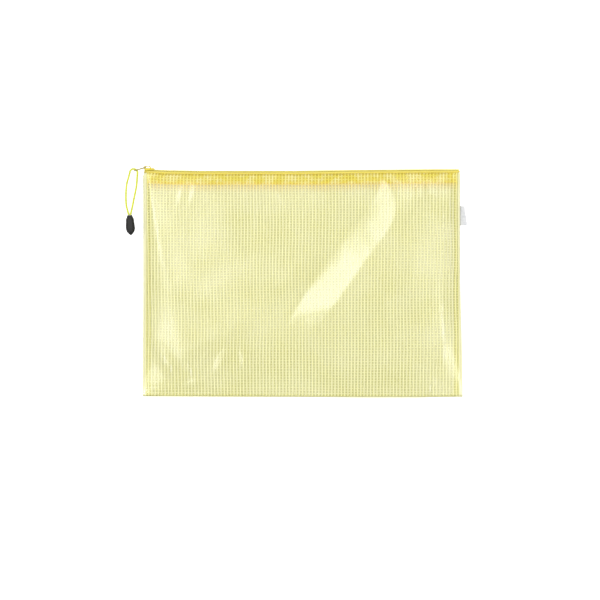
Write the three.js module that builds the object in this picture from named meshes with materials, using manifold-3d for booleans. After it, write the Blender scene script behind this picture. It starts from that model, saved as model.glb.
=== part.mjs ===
// A zipped document pouch of clear film over an open weave, lying flat on its back.
// Millimetres. +X is to the right along the zipper, +Y goes from the bottom fold to the
// zipper and +Z stands up off the table. The origin is on the table, under the middle.
import * as THREE from 'three';
import { mergeVertices } from 'three/addons/utils/BufferGeometryUtils.js';
import Module from 'manifold-3d';

const wasm = await Module();
wasm.setup();

// Pouch walls
const pouchHeight = 240;        // bottom fold to the zipper's outer face
const topWidth = 333.4;         // across the side seams at the zipper
const bottomWidth = 337.4;      // across the side seams at the fold
const filmThickness = 0.4;
const seamAllowance = 8.5;      // width of the edge turned inside at each side
const seamThickness = 0.7;      // the two turned layers pressed together
const layGap = 0.05;            // between cloth layers that lie on each other
const foldGap = 0.3;            // slit between the fold and the front wall
const mouthSideRadius = 6;      // how tightly the walls roll round at the mouth's ends
const bottomSideRadius = 60;    // the slow curve of the front wall into its side seam
const seamRiseLength = 31;      // the side seams climb to the zipper over this length

// Zipper
const tapeWidth = 16;           // from the coil's inner edge to the tape's sewn edge
const tapeThickness = 0.5;
const tapeBend = 0.3;           // inside radius where the tape turns down the wall
const tapeSplit = 2.4;          // between the two tapes' facing edges
const coilPitch = 1.5;
const coilHeight = 2.15;
const coilReach = 0.35;         // each coil's heads pass the middle by this
const coilHalfWidth = 2.95;     // middle of the chain to the coil's outer side
const coilRail = 1.05;          // the sewn side of the coil
const headWidth = 0.62;
const headTaper = 0.1;
const tapeEndMargin = 5.7;      // the sewn part of the tape stops short of the seam

// Slider
const sliderLength = 11;
const sliderWide = 9.8;
const sliderNarrow = 8.0;
const narrowRun = 2.2;          // parallel part at the narrow end
const flareRun = 5.2;           // from the narrow part to the full width
const plateThickness = 0.65;
const innerPlateThickness = 0.9;
const flangeThickness = 0.7;
const runClearance = 0.15;      // slider to coil
const plateToTape = 0.25;       // slider to tape
const coilSpread = 1.15;        // each coil's sideways shift round the divider
const dividerWidth = 1.4;
const dividerLength = 2.6;
const bridgeWidth = 1.8;
const bridgeLength = 7.4;
const bridgeBar = 0.9;
const parkInset = 0.5;          // slider's wide end past the end of the coil

// Pull tab and cord
const tabThickness = 0.9;
const tabWidth = 5.0;
const tabBar = 1.0;             // crossbar that sits under the bridge
const barPlay = 0.1;            // crossbar to the bridge's leg
const slotLength = 6.5;
const slotWidth = 2.6;
const eyeRadius = 1.6;
const eyeBar = 1.7;             // between the slot and the eye
const tabDroop = 16.5;           // degrees below the zipper line
const cordDiameter = 2.0;
const loopRadius = 4.1;         // of the cord's turn through the eye
const loopShift = 0.12;         // the cord pulls towards the inner side of the eye
const cordGap = 0.3;
const endLength = 21;
const endWidth = 9.8;
const endThickness = 5.5;
const endNeck = 4.9;            // width where the cord goes in
const endLean = 3.5;            // degrees
const endShoulder = 4.2;        // length of the upper taper
const endChamfer = 7;           // length of the pointed tip

// Blank ribbon tab in the right seam
const labelLength = 19.4;
const labelReach = 6;
const ribbonThickness = 0.3;
const labelBelowZipper = 48.9;  // zipper face to the middle of the ribbon

// Places that follow from the sizes
const foldY = -pouchHeight / 2;
const chainFaceY = pouchHeight / 2;
const coilFootY = chainFaceY - coilHeight;
const tapeFaceY = coilFootY - layGap;
const tapeBackY = tapeFaceY - tapeThickness;
const innerPlateTop = tapeBackY - runClearance - 0.05;
const innerPlateBottom = innerPlateTop - innerPlateThickness;
const filmTopY = innerPlateBottom - runClearance;
const plateBottom = chainFaceY + runClearance;
const plateTop = plateBottom + plateThickness;
const foldRadius = seamThickness / 2 + layGap + filmThickness;
const foldAxisY = foldY + foldRadius;
const frontStartY = foldAxisY + foldGap;
const tapeOffset = sliderWide / 2 + plateToTape;
const wallOffset = tapeOffset + tapeThickness + layGap;
const chainZ = filmThickness + wallOffset;
const mouthThickness = 2 * chainZ;
const sliderLeft = -topWidth / 2 - parkInset;
const sliderRight = sliderLeft + sliderLength;
const barTurn = Math.hypot(tabBar, tabThickness) / 2 + barPlay;
const droop = THREE.MathUtils.degToRad(tabDroop);
// The tab hangs over the slider's wide end, just clear of the top plate.
const hingeX = sliderLeft + bridgeBar + barTurn;
const hingeY = plateTop + (hingeX - sliderLeft) * Math.tan(droop) + tabThickness / 2 / Math.cos(droop) + barPlay;
const bridgeTop = hingeY + barTurn + bridgeBar;
const eyeAlong = tabBar / 2 + slotLength + eyeBar + eyeRadius;
const eyeX = hingeX - eyeAlong * Math.cos(droop);
const eyeY = hingeY - eyeAlong * Math.sin(droop);

const halfWidth = (y) => THREE.MathUtils.mapLinear(y, foldY, chainFaceY, bottomWidth, topWidth) / 2;
const share = (y) => THREE.MathUtils.clamp((y - foldAxisY) / (filmTopY - foldAxisY), 0, 1);
// The front wall rises fast from the fold and is level where it meets the zipper tape.
const wallTop = (y) => 2 * foldRadius + (mouthThickness - 2 * foldRadius) * (1 - (1 - share(y)) ** 3);
// Height of the side seam's middle, flat on the table until it nears the zipper.
const seamMiddle = (y) => {
  const climb = THREE.MathUtils.smoothstep(y, filmTopY - seamRiseLength, filmTopY);
  return foldRadius + (chainZ - foldRadius) * climb;
};
const sideRadius = (y) => mouthSideRadius
  + (bottomSideRadius - mouthSideRadius) * (1 - share(y)) ** 1.2;
const backSideRadius = (y) => 1 + (mouthSideRadius - 1)
  * THREE.MathUtils.smoothstep(y, filmTopY - seamRiseLength, filmTopY);

const film = new THREE.MeshStandardMaterial({ color: 0xebe8b0, roughness: 0.25, metalness: 0 });
const tapeCloth = new THREE.MeshStandardMaterial({ color: 0xefd97c, roughness: 0.85, metalness: 0 });
const coilPlastic = new THREE.MeshStandardMaterial({ color: 0xe9cf5e, roughness: 0.5, metalness: 0 });
const enamel = new THREE.MeshStandardMaterial({ color: 0xf2da3c, roughness: 0.35, metalness: 0.2 });
const cordYarn = new THREE.MeshStandardMaterial({ color: 0xdceb5c, roughness: 0.9, metalness: 0 });
const blackRubber = new THREE.MeshStandardMaterial({ color: 0x2f2e2b, roughness: 0.55, metalness: 0 });
const ribbon = new THREE.MeshStandardMaterial({ color: 0xe4e4e0, roughness: 0.8, metalness: 0 });

// Closes a sheet given by matching outer and inner point grids, rows by columns.
function closedSheet(outer, inner) {
  const rows = outer.length;
  const columns = outer[0].length;
  const points = [...outer.flat(), ...inner.flat()];
  const layer = rows * columns;
  const faces = [];
  const quad = (a, b, c, d) => faces.push(a, b, c, a, c, d);
  const at = (i, j) => i * columns + j;
  for (let i = 0; i < rows - 1; i += 1) {
    for (let j = 0; j < columns - 1; j += 1) {
      quad(at(i, j), at(i, j + 1), at(i + 1, j + 1), at(i + 1, j));
      quad(layer + at(i, j), layer + at(i + 1, j), layer + at(i + 1, j + 1), layer + at(i, j + 1));
    }
  }
  const rim = [];
  for (let j = 0; j < columns - 1; j += 1) rim.push(at(0, j));
  for (let i = 0; i < rows - 1; i += 1) rim.push(at(i, columns - 1));
  for (let j = columns - 1; j > 0; j -= 1) rim.push(at(rows - 1, j));
  for (let i = rows - 1; i > 0; i -= 1) rim.push(at(i, 0));
  rim.forEach((p, k) => {
    const q = rim[(k + 1) % rim.length];
    quad(p, layer + p, layer + q, q);
  });
  return outward(points, faces);
}

// Builds the geometry and turns it inside out where its volume comes out negative.
function outward(points, faces) {
  let volume = 0;
  for (let k = 0; k < faces.length; k += 3) {
    const [a, b, c] = [faces[k], faces[k + 1], faces[k + 2]].map((n) => points[n]);
    volume += a.dot(new THREE.Vector3().crossVectors(b, c));
  }
  const index = volume > 0 ? faces : faces.slice().reverse();
  const geometry = new THREE.BufferGeometry();
  geometry.setAttribute('position', new THREE.Float32BufferAttribute(points.flatMap((p) => [p.x, p.y, p.z]), 3));
  geometry.setIndex(index);
  geometry.computeVertexNormals();
  return geometry;
}

const spread = (from, to, count) => Array.from({ length: count + 1 }, (_, k) => from + ((to - from) * k) / count);

// Columns across a wall: a quarter turn at each side and evenly spaced ones between.
const sideSteps = 8;
const middleSteps = 10;
const columns = [
  ...spread(-Math.PI / 2, 0, sideSteps).map((turn) => ({ side: -1, turn: -turn, along: -1 })),
  ...spread(-1, 1, middleSteps).slice(1, -1).map((along) => ({ side: Math.sign(along), turn: 0, along })),
  ...spread(0, Math.PI / 2, sideSteps).map((turn) => ({ side: 1, turn, along: 1 })),
];

// One row of a wall: level between the side curves and an ellipse quarter in each.
function wallRow(y, radius, base, rise, shrink) {
  const level = halfWidth(y) - radius;
  return columns.map(({ side, turn, along }) => {
    const x = turn > 0 ? side * (level + (radius - shrink) * Math.sin(turn)) : along * level;
    return new THREE.Vector3(x, y, base + rise * Math.cos(turn));
  });
}

const lowRows = spread(frontStartY, filmTopY - seamRiseLength, 9);
const highRows = spread(filmTopY - seamRiseLength, filmTopY, 6).slice(1);
const wallRows = [...lowRows, ...highRows];

function frontPanel() {
  const outer = [];
  const inner = [];
  for (const y of wallRows) {
    const base = seamMiddle(y) + seamThickness / 2 + layGap;
    outer.push(wallRow(y, sideRadius(y), base, wallTop(y) - base, 0));
    inner.push(wallRow(y, sideRadius(y), base, wallTop(y) - base - filmThickness, filmThickness));
  }
  return closedSheet(outer, inner);
}

// The back wall carries the fold, which comes round to the front wall's lower edge.
function backPanel() {
  const outer = [];
  const inner = [];
  for (const turn of spread(0, Math.PI, 8).slice(0, -1)) {
    const fold = (radius, shrink) => wallRow(foldAxisY, backSideRadius(foldAxisY), 0, 0, shrink)
      .map((p) => new THREE.Vector3(p.x, foldAxisY - radius * Math.sin(turn), foldRadius + radius * Math.cos(turn)));
    outer.push(fold(foldRadius, 0));
    inner.push(fold(foldRadius - filmThickness, filmThickness));
  }
  for (const y of [foldAxisY, ...wallRows]) {
    const edge = seamMiddle(y) - seamThickness / 2 - layGap;
    outer.push(wallRow(y, backSideRadius(y), edge, -edge, 0));
    inner.push(wallRow(y, backSideRadius(y), edge, filmThickness - edge, filmThickness));
  }
  return closedSheet(outer, inner);
}

// The turned edges, pressed flat between the two walls along one side.
function seamStrip(side) {
  const strip = (z) => wallRows.map((y) => {
    const rim = halfWidth(y) - filmThickness - layGap;
    return [rim - seamAllowance, rim].map((x) => new THREE.Vector3(side * x, y, seamMiddle(y) + z));
  });
  return closedSheet(strip(seamThickness / 2), strip(-seamThickness / 2));
}

// Half of the zipper tape. It lies flat under the coil, turns and runs down the wall.
function tape(side) {
  const wide = topWidth / 2 - mouthSideRadius - tapeEndMargin / 2;
  const end = topWidth / 2 - 0.6;
  const flat = tapeOffset - tapeSplit / 2;
  const bottom = tapeBackY - (tapeWidth - flat);
  const stub = tapeBackY - tapeBend - 0.3;
  const profile = (offset) => {
    const centreY = tapeBackY - tapeBend;
    const centreZ = tapeOffset - tapeBend;
    const bend = spread(0, Math.PI / 2, 3).map((a) => ({
      y: centreY + (tapeBend + offset) * Math.cos(a),
      z: centreZ + (tapeBend + offset) * Math.sin(a),
    }));
    return [{ y: tapeBackY + offset, z: tapeSplit / 2 }, ...bend, { y: null, z: tapeOffset + offset }];
  };
  const stations = [[-end, stub], [-wide, stub], [-wide + 2, bottom], [wide - 2, bottom], [wide, stub], [end, stub]];
  const rows = (offset) => stations.map(([x, low]) => profile(offset).map(({ y, z }) => (
    new THREE.Vector3(x, y ?? low, chainZ + side * z))));
  return closedSheet(rows(tapeThickness), rows(0));
}

// How far each coil is pushed aside at x while the slider is parked at the left end.
const spreadAt = (x) => coilSpread * (1 - THREE.MathUtils.smoothstep(
  x, sliderLeft + dividerLength, sliderRight - narrowRun));

// Half of the chain: a sewn rail with heads that pass between those of the other half.
function coil(side, shift) {
  const start = -topWidth / 2;
  const end = topWidth / 2 - 1.2;
  const root = coilHalfWidth - coilRail;
  const shape = new THREE.Shape();
  const z = (x, height) => side * (height + spreadAt(x));
  shape.moveTo(start, z(start, root));
  for (let x = start + shift; x + headWidth / 2 < end; x += coilPitch) {
    const foot = headWidth / 2;
    const tip = foot - headTaper;
    shape.lineTo(x - foot, z(x, root));
    shape.lineTo(x - tip, z(x, -coilReach));
    shape.lineTo(x + tip, z(x, -coilReach));
    shape.lineTo(x + foot, z(x, root));
  }
  shape.lineTo(end, z(end, root));
  shape.lineTo(end, z(end, coilHalfWidth));
  for (const x of spread(sliderRight, start, 8)) shape.lineTo(x, z(x, coilHalfWidth));
  const geometry = new THREE.ExtrudeGeometry(shape, { depth: coilHeight, bevelEnabled: false });
  geometry.rotateX(Math.PI / 2);
  return geometry;
}

// Joins closed pieces into one solid.
function joined(pieces) {
  const solids = pieces.map((piece) => {
    const bare = new THREE.BufferGeometry();
    bare.setAttribute('position', piece.getAttribute('position'));
    if (piece.index) bare.setIndex(piece.index);
    const merged = mergeVertices(bare, 1e-5);
    return new wasm.Manifold(new wasm.Mesh({
      numProp: 3,
      vertProperties: new Float32Array(merged.getAttribute('position').array),
      triVerts: new Uint32Array(merged.index.array),
    }));
  });
  const mesh = solids.reduce((a, b) => a.add(b)).getMesh();
  const geometry = new THREE.BufferGeometry();
  geometry.setAttribute('position', new THREE.Float32BufferAttribute(mesh.vertProperties, 3));
  geometry.setIndex(Array.from(mesh.triVerts));
  geometry.computeVertexNormals();
  return geometry;
}

// A flat plate of the given outline in the chain's plane, between two heights.
function chainPlate(shape, low, high) {
  const geometry = new THREE.ExtrudeGeometry(shape, { depth: high - low, bevelEnabled: false, curveSegments: 4 });
  geometry.rotateX(Math.PI / 2);
  geometry.translate(0, high, 0);
  return geometry;
}

// The slider's side as seen from above: parallel, flared, then full width to the rear.
const sideLine = (inset) => {
  const narrow = sliderNarrow / 2 - inset;
  const wide = sliderWide / 2 - inset;
  const points = [[sliderRight, narrow]];
  for (const k of spread(0, 1, 4)) {
    points.push([sliderRight - narrowRun - flareRun * k, narrow + (wide - narrow) * THREE.MathUtils.smoothstep(k, 0, 1)]);
  }
  points.push([sliderLeft, wide]);
  return points;
};

function sliderBody() {
  const outline = new THREE.Shape();
  const corner = 1.3;
  const side = sideLine(0);
  side.pop();
  const rim = [...side, [sliderLeft + corner, sliderWide / 2], [sliderLeft + 0.3 * corner, sliderWide / 2 - 0.3 * corner],
    [sliderLeft, sliderWide / 2 - corner]];
  [...rim, ...rim.map(([x, z]) => [x, -z]).reverse()].forEach(([x, z], k) => (k ? outline.lineTo(x, z) : outline.moveTo(x, z)));
  const flange = (s) => {
    const shape = new THREE.Shape();
    const outerSide = [...side, [sliderLeft + corner, sliderWide / 2]];
    const innerSide = sideLine(flangeThickness).slice(0, -1);
    innerSide.push([sliderLeft + corner, sliderWide / 2 - flangeThickness]);
    [...outerSide, ...innerSide.reverse()].forEach(([x, z], k) => (k ? shape.lineTo(x, s * z) : shape.moveTo(x, s * z)));
    return chainPlate(shape, tapeFaceY + 0.4, plateBottom + 0.2);
  };
  const divider = new THREE.Shape();
  const dividerStart = sliderLeft + 0.4;
  divider.moveTo(dividerStart, 0);
  divider.lineTo(dividerStart + 0.5, dividerWidth / 2);
  divider.lineTo(dividerStart + 0.5 * dividerLength, dividerWidth / 2);
  divider.lineTo(dividerStart + dividerLength, 0);
  divider.lineTo(dividerStart + 0.5 * dividerLength, -dividerWidth / 2);
  divider.lineTo(dividerStart + 0.5, -dividerWidth / 2);
  const arch = new THREE.Shape();
  const archRight = sliderLeft + bridgeLength;
  const shoulder = 1.1;
  arch.moveTo(sliderLeft, plateTop - 0.2);
  arch.lineTo(sliderLeft, bridgeTop - shoulder);
  arch.quadraticCurveTo(sliderLeft, bridgeTop, sliderLeft + shoulder, bridgeTop);
  arch.lineTo(archRight - 2.2 * shoulder, bridgeTop);
  arch.quadraticCurveTo(archRight - 0.4, bridgeTop, archRight - 0.2, bridgeTop - 1.4 * shoulder);
  arch.lineTo(archRight, plateTop - 0.2);
  arch.lineTo(archRight - bridgeBar - 0.3, plateTop - 0.2);
  arch.lineTo(archRight - bridgeBar - 0.3, bridgeTop - bridgeBar - 0.6);
  arch.lineTo(archRight - bridgeBar - 0.9, bridgeTop - bridgeBar);
  arch.lineTo(sliderLeft + bridgeBar, bridgeTop - bridgeBar);
  arch.lineTo(sliderLeft + bridgeBar, plateTop - 0.2);
  const bridge = new THREE.ExtrudeGeometry(arch, { depth: bridgeWidth, bevelEnabled: false, curveSegments: 5 });
  bridge.translate(0, 0, -bridgeWidth / 2);
  return joined([
    chainPlate(outline, plateBottom, plateTop),
    chainPlate(outline, innerPlateBottom, innerPlateTop),
    flange(1),
    flange(-1),
    chainPlate(divider, innerPlateTop - 0.2, plateBottom + 0.2),
    bridge,
  ]);
}

// Stamped tab: a slot that rides the bridge, then an eye for the cord.
function pullTab() {
  const half = tabWidth / 2;
  const cut = 0.8;
  const outline = new THREE.Shape();
  outline.moveTo(-tabBar / 2, -half + cut);
  outline.lineTo(-tabBar / 2, half - cut);
  outline.quadraticCurveTo(-tabBar / 2, half, cut - tabBar / 2, half);
  outline.lineTo(eyeAlong, half);
  outline.absarc(eyeAlong, 0, half, Math.PI / 2, -Math.PI / 2, true);
  outline.lineTo(cut - tabBar / 2, -half);
  outline.quadraticCurveTo(-tabBar / 2, -half, -tabBar / 2, -half + cut);
  const slot = new THREE.Path();
  slot.moveTo(tabBar / 2, -slotWidth / 2);
  slot.lineTo(tabBar / 2 + slotLength - 0.6, -slotWidth / 2);
  slot.lineTo(tabBar / 2 + slotLength, 0.6 - slotWidth / 2);
  slot.lineTo(tabBar / 2 + slotLength, slotWidth / 2 - 0.6);
  slot.lineTo(tabBar / 2 + slotLength - 0.6, slotWidth / 2);
  slot.lineTo(tabBar / 2, slotWidth / 2);
  const eye = new THREE.Path();
  eye.absarc(eyeAlong, 0, eyeRadius, 0, Math.PI * 2, false);
  outline.holes.push(slot, eye);
  const geometry = new THREE.ExtrudeGeometry(outline, { depth: tabThickness, bevelEnabled: false, curveSegments: 10 });
  geometry.translate(0, 0, -tabThickness / 2);
  geometry.rotateX(Math.PI / 2);
  return geometry;
}

// The cord's route from above, each strand's points measured from the eye: up the left strand,
// round through the eye, down the right strand.
const leftStrand = [
  [-8.15, -47.1, 2.75], [-9.5, -42.3, 2.8], [-10.6, -37.6, 2.9], [-11.1, -30.6, 3.2], [-10.9, -21.6, 3.7],
  [-10, -14, 4.4], [-8.4, -8.4, 5.2],
];
const rightStrand = [
  [0.95, -8.6, 5.8], [0.3, -15.9, 5.2], [-0.9, -22.5, 4.5], [-2.7, -30.4, 3.7], [-4.1, -37.4, 3.1],
  [-5.2, -42.1, 2.9], [-6.3, -47.1, 2.75],
];
const loopTurn = [180, 155, 130, 105, 75, 45, 22, 0].map((degrees) => {
  const a = THREE.MathUtils.degToRad(degrees);
  const lift = 0.4 * Math.max(0, (degrees - 45) / 135);
  const [x, y] = [Math.cos(a), Math.sin(a)].map((k) => loopRadius * (k - Math.SQRT1_2) + loopShift);
  return [x, y, chainZ - lift];
});
const cordRoute = [...leftStrand, ...loopTurn, ...rightStrand].map(([x, y, z]) => [eyeX + x, eyeY + y, z]);

function pullCord() {
  const path = new THREE.CatmullRomCurve3(cordRoute.map((p) => new THREE.Vector3(...p)), false, 'centripetal');
  const section = new THREE.Shape();
  for (let k = 0; k < 8; k += 1) {
    const a = ((k + 0.5) * Math.PI) / 4;
    const x = (cordDiameter / 2) * Math.cos(a);
    const y = (cordDiameter / 2) * Math.sin(a);
    if (k) section.lineTo(x, y);
    else section.moveTo(x, y);
  }
  return new THREE.ExtrudeGeometry(section, { steps: 60, extrudePath: path, bevelEnabled: false });
}

// Faceted end piece: rings of eight corners from the neck, over the shoulder, to the tip.
function cordEnd() {
  const rings = [
    [0, endNeck / 2, 0.62], [endShoulder, 0.42 * endWidth, 0.92], [endLength - endChamfer, endWidth / 2, 1],
    [endLength - 0.5 * endChamfer, 0.4 * endWidth, 0.82], [endLength, 0.09 * endWidth, 0.3],
  ];
  const corners = [[1, 0.36], [0.52, 1], [-0.52, 1], [-1, 0.36], [-1, -0.36], [-0.52, -1], [0.52, -1], [1, -0.36]];
  const points = [];
  for (const [along, half, lift] of rings) {
    for (const [across, up] of corners) {
      points.push(new THREE.Vector3(across * half, -along, (up * lift * endThickness) / 2));
    }
  }
  const faces = [];
  for (let r = 0; r < rings.length - 1; r += 1) {
    for (let k = 0; k < 8; k += 1) {
      const [a, b] = [r * 8 + k, r * 8 + ((k + 1) % 8)];
      faces.push(a, b, b + 8, a, b + 8, a + 8);
    }
  }
  const last = (rings.length - 1) * 8;
  for (let k = 1; k < 7; k += 1) {
    faces.push(0, k + 1, k);
    faces.push(last, last + k, last + k + 1);
  }
  return outward(points, faces);
}

// Ribbon folded double, with its two ends caught between the walls at the seam. It leans
// with the seam.
function labelTab() {
  const middle = chainFaceY - labelBelowZipper;
  const reach = labelReach + filmThickness;
  const half = seamThickness / 2;
  const shape = new THREE.Shape();
  shape.moveTo(0, half);
  shape.lineTo(reach - 0.4, half);
  shape.lineTo(reach, 0.5 * half);
  shape.lineTo(reach, -0.5 * half);
  shape.lineTo(reach - 0.4, -half);
  shape.lineTo(0, -half);
  shape.lineTo(0, ribbonThickness - half);
  shape.lineTo(reach - ribbonThickness - 0.1, ribbonThickness - half);
  shape.lineTo(reach - ribbonThickness - 0.1, half - ribbonThickness);
  shape.lineTo(0, half - ribbonThickness);
  const geometry = new THREE.ExtrudeGeometry(shape, { depth: labelLength, bevelEnabled: false });
  geometry.rotateX(Math.PI / 2);
  geometry.translate(0, labelLength / 2, 0);
  geometry.rotateZ(Math.atan2((bottomWidth - topWidth) / 2, pouchHeight));
  geometry.translate(halfWidth(middle) - filmThickness, middle, foldRadius);
  return geometry;
}

function add(group, name, geometry, material) {
  const mesh = new THREE.Mesh(geometry, material);
  mesh.name = name;
  group.add(mesh);
  return mesh;
}

const pouch = new THREE.Group();
add(pouch, 'back_panel', backPanel(), film);
add(pouch, 'front_panel', frontPanel(), film);
add(pouch, 'left_seam', seamStrip(-1), film);
add(pouch, 'right_seam', seamStrip(1), film);
add(pouch, 'back_tape', tape(-1), tapeCloth);
add(pouch, 'front_tape', tape(1), tapeCloth);
add(pouch, 'label_tab', labelTab(), ribbon);

const chain = new THREE.Group();
chain.position.set(0, chainFaceY, chainZ);
add(chain, 'back_coil', coil(-1, 0.9), coilPlastic);
add(chain, 'front_coil', coil(1, 0.9 + coilPitch / 2), coilPlastic);
pouch.add(chain);

const slider = new THREE.Group();
slider.position.z = chainZ;
add(slider, 'slider_body', sliderBody(), enamel);
const tab = add(slider, 'pull_tab', pullTab(), enamel);
tab.position.set(hingeX, hingeY, 0);
tab.rotation.z = Math.PI + droop;
pouch.add(slider);

add(pouch, 'pull_cord', pullCord(), cordYarn);
const cordTip = add(pouch, 'cord_end', cordEnd(), blackRubber);
const [cordIn, cordOut] = [cordRoute[0], cordRoute[cordRoute.length - 1]];
cordTip.position.set((cordIn[0] + cordOut[0]) / 2, Math.min(cordIn[1], cordOut[1]) - cordGap, endThickness / 2);
cordTip.rotation.z = THREE.MathUtils.degToRad(endLean);

export default pouch;
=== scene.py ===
import bmesh
import bpy
import numpy as np
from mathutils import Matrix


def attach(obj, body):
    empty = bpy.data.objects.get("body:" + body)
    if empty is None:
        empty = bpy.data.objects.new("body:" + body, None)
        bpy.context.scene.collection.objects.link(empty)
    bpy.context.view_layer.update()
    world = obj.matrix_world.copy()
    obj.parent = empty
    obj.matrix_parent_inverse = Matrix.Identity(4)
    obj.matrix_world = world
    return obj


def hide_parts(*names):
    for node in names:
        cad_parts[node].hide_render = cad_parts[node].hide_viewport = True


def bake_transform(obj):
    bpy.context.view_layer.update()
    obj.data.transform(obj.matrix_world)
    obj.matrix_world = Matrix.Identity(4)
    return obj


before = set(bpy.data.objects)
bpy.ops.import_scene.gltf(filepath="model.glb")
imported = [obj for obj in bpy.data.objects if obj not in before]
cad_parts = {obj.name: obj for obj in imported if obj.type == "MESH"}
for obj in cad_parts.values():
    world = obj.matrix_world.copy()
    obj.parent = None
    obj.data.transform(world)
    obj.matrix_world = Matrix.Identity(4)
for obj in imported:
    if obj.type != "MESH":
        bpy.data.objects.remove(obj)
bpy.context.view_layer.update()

mm = 0.001  # every length below is in metres; mm turns a maker's figure into metres

# The pouch as cut and sewn. The walls, tapes and seams below all take their places from here. mouth is the front
# wall's height at the zipper, seamHalf half of a seam's thickness, and each Side the width of a wall's side curve.
pouch = {
    "foldY": -120 * mm,
    "chainFaceY": 120 * mm,
    "topWidth": 333.4 * mm,
    "bottomWidth": 337.4 * mm,
    "film": 0.4 * mm,
    "foldRadius": 0.8 * mm,
    "wallTopY": 115.95 * mm,
    "mouth": 12.2 * mm,
    "chainZ": 6.1 * mm,
    "seamRise": 31 * mm,
    "seamHalf": 0.4 * mm,
    "mouthSide": 6 * mm,
    "bottomSide": 60 * mm,
    "backBottomSide": 1 * mm,
}
foldAxisY = pouch["foldY"] + pouch["foldRadius"]
pouch["seamLowY"] = foldAxisY + 0.3 * mm


# Object helpers

def linked(obj):
    # puts a new object into the scene
    bpy.context.scene.collection.objects.link(obj)
    return obj


def putMesh(name, points, faces, uv=None):
    # corners and faces go straight in; uv has one pair for each corner
    mesh = bpy.data.meshes.new(name)
    points = np.asarray(points, float).reshape(-1, 3)
    faces = [list(map(int, f)) for f in faces]
    mesh.from_pydata(points.tolist(), [], faces)
    if uv is not None:
        order = np.array([c for f in faces for c in f])
        layer = mesh.uv_layers.new(name="weave")
        layer.data.foreach_set("uv", np.asarray(uv, np.float32).reshape(-1, 2)[order].ravel())
    mesh.polygons.foreach_set("use_smooth", np.full(len(mesh.polygons), True))
    mesh.update()
    return linked(bpy.data.objects.new(name, mesh))


def cornerPlaces(obj):
    # the corners of a mesh as rows of x, y and z
    flat = np.empty(len(obj.data.vertices) * 3, np.float32)
    obj.data.vertices.foreach_get("co", flat)
    return flat.reshape(-1, 3)


def gridQuads(rows, columns, around=False, first=0):
    # one face between each pair of neighbouring rows and columns
    i, j = np.meshgrid(np.arange(rows - 1), np.arange(columns if around else columns - 1), indexing="ij")
    k = (j + 1) % columns
    quads = np.stack([i * columns + j, i * columns + k, (i + 1) * columns + k, (i + 1) * columns + j], -1)
    return quads.reshape(-1, 4) + first


def signedVolume(points, quads):
    # sum of the signed tetrahedra from the origin to each half face
    p = points[np.asarray(quads)]
    a = np.einsum("ij,ij->i", p[:, 0], np.cross(p[:, 1], p[:, 2]))
    b = np.einsum("ij,ij->i", p[:, 0], np.cross(p[:, 2], p[:, 3]))
    return float((a + b).sum())


def closedSheet(name, outer, inner, uv):
    # two matching grids of points, joined by a strip round their rim
    rows, columns = outer.shape[:2]
    count = rows * columns
    points = np.concatenate([outer.reshape(-1, 3), inner.reshape(-1, 3)])
    top = gridQuads(rows, columns)
    low = gridQuads(rows, columns, first=count)[:, ::-1]
    at = np.arange(count).reshape(rows, columns)
    rim = np.concatenate([at[0, :-1], at[:-1, -1], at[-1, :0:-1], at[:0:-1, 0]])
    after = np.roll(rim, -1)
    side = np.stack([rim, rim + count, after + count, after], -1)
    quads = np.concatenate([top, low, side])
    if signedVolume(points, quads) < 0:
        quads = quads[:, ::-1]
    return putMesh(name, points, quads, np.concatenate([uv.reshape(-1, 2)] * 2))


def normalised(v):
    # each vector divided by its length
    return v / np.maximum(np.linalg.norm(v, axis=-1, keepdims=True), 1e-12)


def circle(sides):
    # corners of a regular polygon on a circle of radius 1
    turn = np.linspace(0, 2 * np.pi, sides, endpoint=False)
    return np.stack([np.cos(turn), np.sin(turn)], -1)


def pathFrame(path, guide):
    # across = tangent x guide and up = across x tangent, at every point of one path or of many
    tangent = normalised(np.gradient(path, axis=-2))
    across = normalised(np.cross(tangent, guide))
    return across, np.cross(across, tangent)


def sweptTubes(name, paths, across, up, section, uv=None):
    # closed tubes along one path or many, in one mesh: at each point the section's (across, up) pairs, and a cap at
    # either end. The section may change along the path; uv is one pair for each corner or a function of x and y
    if paths.ndim == 2:
        paths, across, up = paths[None], across[None], up[None]
    rings = paths[..., None, :] + across[..., None, :] * section[..., :1] + up[..., None, :] * section[..., 1:]
    count, rows, sides = rings.shape[:3]
    points = rings.reshape(-1, 3)
    quads = gridQuads(rows, sides, around=True)
    start, end = np.arange(sides)[::-1], np.arange((rows - 1) * sides, rows * sides)
    if signedVolume(rings[0].reshape(-1, 3), quads) < 0:
        quads, start, end = quads[:, ::-1], start[::-1], end[::-1]
    offsets = (np.arange(count) * rows * sides)[:, None, None]
    faces = (quads[None] + offsets).reshape(-1, 4).tolist()
    faces += (start[None] + offsets[:, 0]).tolist() + (end[None] + offsets[:, 0]).tolist()
    return putMesh(name, points, faces, uv(points[:, 0], points[:, 1]) if callable(uv) else uv)


def smoothPath(points, perSpan):
    # a Catmull-Rom curve through the points, each span worked out as one block
    p = np.asarray(points, float)
    p = np.concatenate([[2 * p[0] - p[1]], p, [2 * p[-1] - p[-2]]])
    t = np.linspace(0, 1, perSpan, endpoint=False)[None, :, None]
    a, b, c, d = (p[k:len(p) - 3 + k, None] for k in range(4))
    curve = 0.5 * (2 * b + (c - a) * t + (2 * a - 5 * b + 4 * c - d) * t**2 + (3 * b - a - 3 * c + d) * t**3)
    return np.concatenate([curve.reshape(-1, 3), p[-2:-1]])


def smoothStep(value, low, high):
    # 0 up to low, 1 from high, and 3 t^2 - 2 t^3 between them
    t = np.clip((value - low) / (high - low), 0, 1)
    return t * t * (3 - 2 * t)


# Material helpers

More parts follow.
